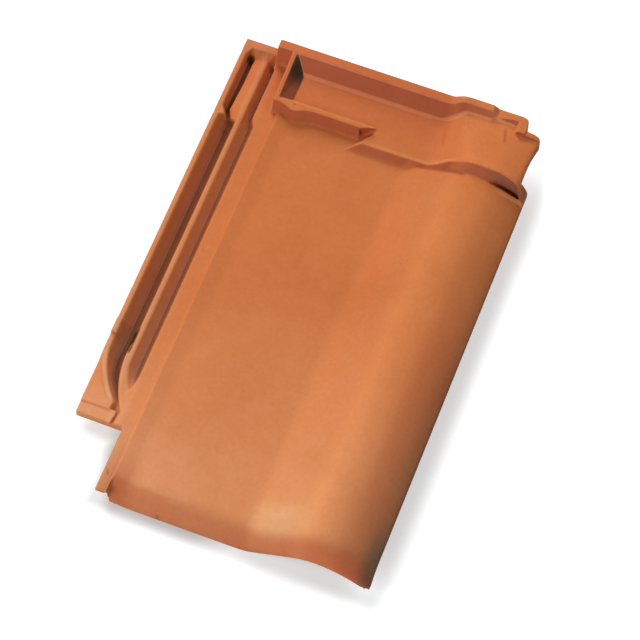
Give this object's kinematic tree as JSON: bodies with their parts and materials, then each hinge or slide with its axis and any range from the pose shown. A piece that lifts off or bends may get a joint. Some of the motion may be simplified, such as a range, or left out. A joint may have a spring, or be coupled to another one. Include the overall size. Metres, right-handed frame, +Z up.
{
  "type": "interlocking clay roof tile",
  "caption": "Fired clay roof tile: flat pan with a roll on the right, double-rib side lock on the left, channelled head lock and batten nibs.",
  "frame": {"origin": "centre of the tile's bounding box in plan, at the level floor it lies on, which its foot lip and batten nibs touch", "axes": "+Y along the tile from foot to head, +X across it from the side lock to the cover edge of the roll, +Z up from the back to the weather face"},
  "size_m": [0.286, 0.45, 0.0506],
  "materials": {
    "fired_clay": "unglazed natural red-orange clay, matt with a faint sheen"
  },
  "bodies": {
    "root": {"roof_tile": "fired_clay"}
  },
  "joints": []
}
